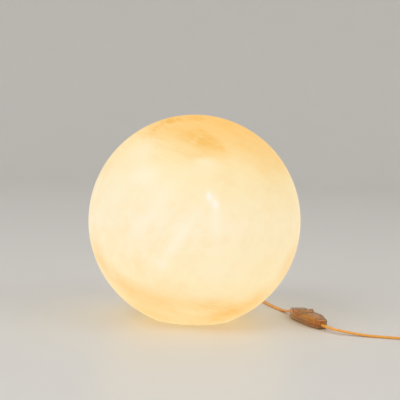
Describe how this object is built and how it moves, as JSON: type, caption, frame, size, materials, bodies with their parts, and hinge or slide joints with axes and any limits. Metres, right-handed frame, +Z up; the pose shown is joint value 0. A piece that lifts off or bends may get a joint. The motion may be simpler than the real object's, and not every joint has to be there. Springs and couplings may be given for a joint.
{
  "type": "table lamp",
  "caption": "Globe table lamp: a flat-bottomed ball of cloudy glass over a lampholder on a pressed pan, with a rocker switch in its clear flex.",
  "frame": {"origin": "centre of the globe's flat underside, on the table", "axes": "+Z up through the top of the globe; +Y to the back, where the flex leaves; +X to the right of a viewer in front"},
  "size_m": [0.4428, 0.2715, 0.2408],
  "materials": {
    "cloudy_glass": "cloudy cream glass, lit from inside",
    "zinc_steel": "zinc plated",
    "grey_rubber": "matte",
    "clear_flex": "clear golden PVC over copper",
    "holder_plastic": "moulded, satin",
    "steatite": "unglazed steatite",
    "brass": "bright",
    "bulb_glass": "clear, lit",
    "cap_metal": "satin",
    "black_glass": "black glass",
    "filament": "glowing tungsten",
    "clear_shell": "clear moulded plastic",
    "clear_rocker": "clear moulded plastic",
    "plug_plastic": "moulded, golden",
    "pin_metal": "nickel plated",
    "sleeve_plastic": "moulded"
  },
  "bodies": {
    "base": {"base_pan": "zinc_steel", "rubber_buffers": "grey_rubber", "strain_relief": "grey_rubber", "inner_lead": "clear_flex", "nipple": "zinc_steel", "lower_nut": "zinc_steel", "lock_washer": "zinc_steel", "upper_nut": "zinc_steel", "holder_cap": "holder_plastic", "grub_screw": "zinc_steel", "holder_core": "steatite", "terminal_screws": "brass", "holder_wires": "clear_flex", "centre_contact": "brass", "screw_shell": "brass", "holder_shell": "holder_plastic", "lead_flex": "clear_flex", "switch_base": "clear_shell", "switch_cover": "clear_shell", "fixed_contact": "brass", "contact_blade": "brass", "switch_terminals": "brass", "switch_clamp_screws": "zinc_steel", "switch_wires": "clear_flex", "switch_screws": "zinc_steel", "main_flex": "clear_flex", "flex_coil": "clear_flex", "tail_flex": "clear_flex", "plug_relief": "plug_plastic", "plug_body": "plug_plastic", "plug_pins": "pin_metal", "pin_sleeves": "sleeve_plastic"},
    "globe": {"globe": "cloudy_glass"},
    "bulb": {"bulb_glass": "bulb_glass", "bulb_cap": "cap_metal", "bulb_insulator": "black_glass", "bulb_tip": "cap_metal", "bulb_stem": "bulb_glass", "bulb_wires": "cap_metal", "filament": "filament"},
    "rocker": {"switch_rocker": "clear_rocker"}
  },
  "joints": [
    {"name": "globe_lift", "type": "slide", "parent": "base", "child": "globe", "axis": [0, 0, 1], "range_m": [0, 0.25]},
    {"name": "bulb_out", "type": "slide", "parent": "base", "child": "bulb", "axis": [0, 0, 1], "range_m": [0, 0.03]},
    {"name": "rocker_turn", "type": "hinge", "parent": "base", "child": "rocker", "pos_m": [0.13435, -0.0104, 0.0105], "axis": [0.9336, 0.3584, 0], "range_deg": [0, 18]}
  ]
}
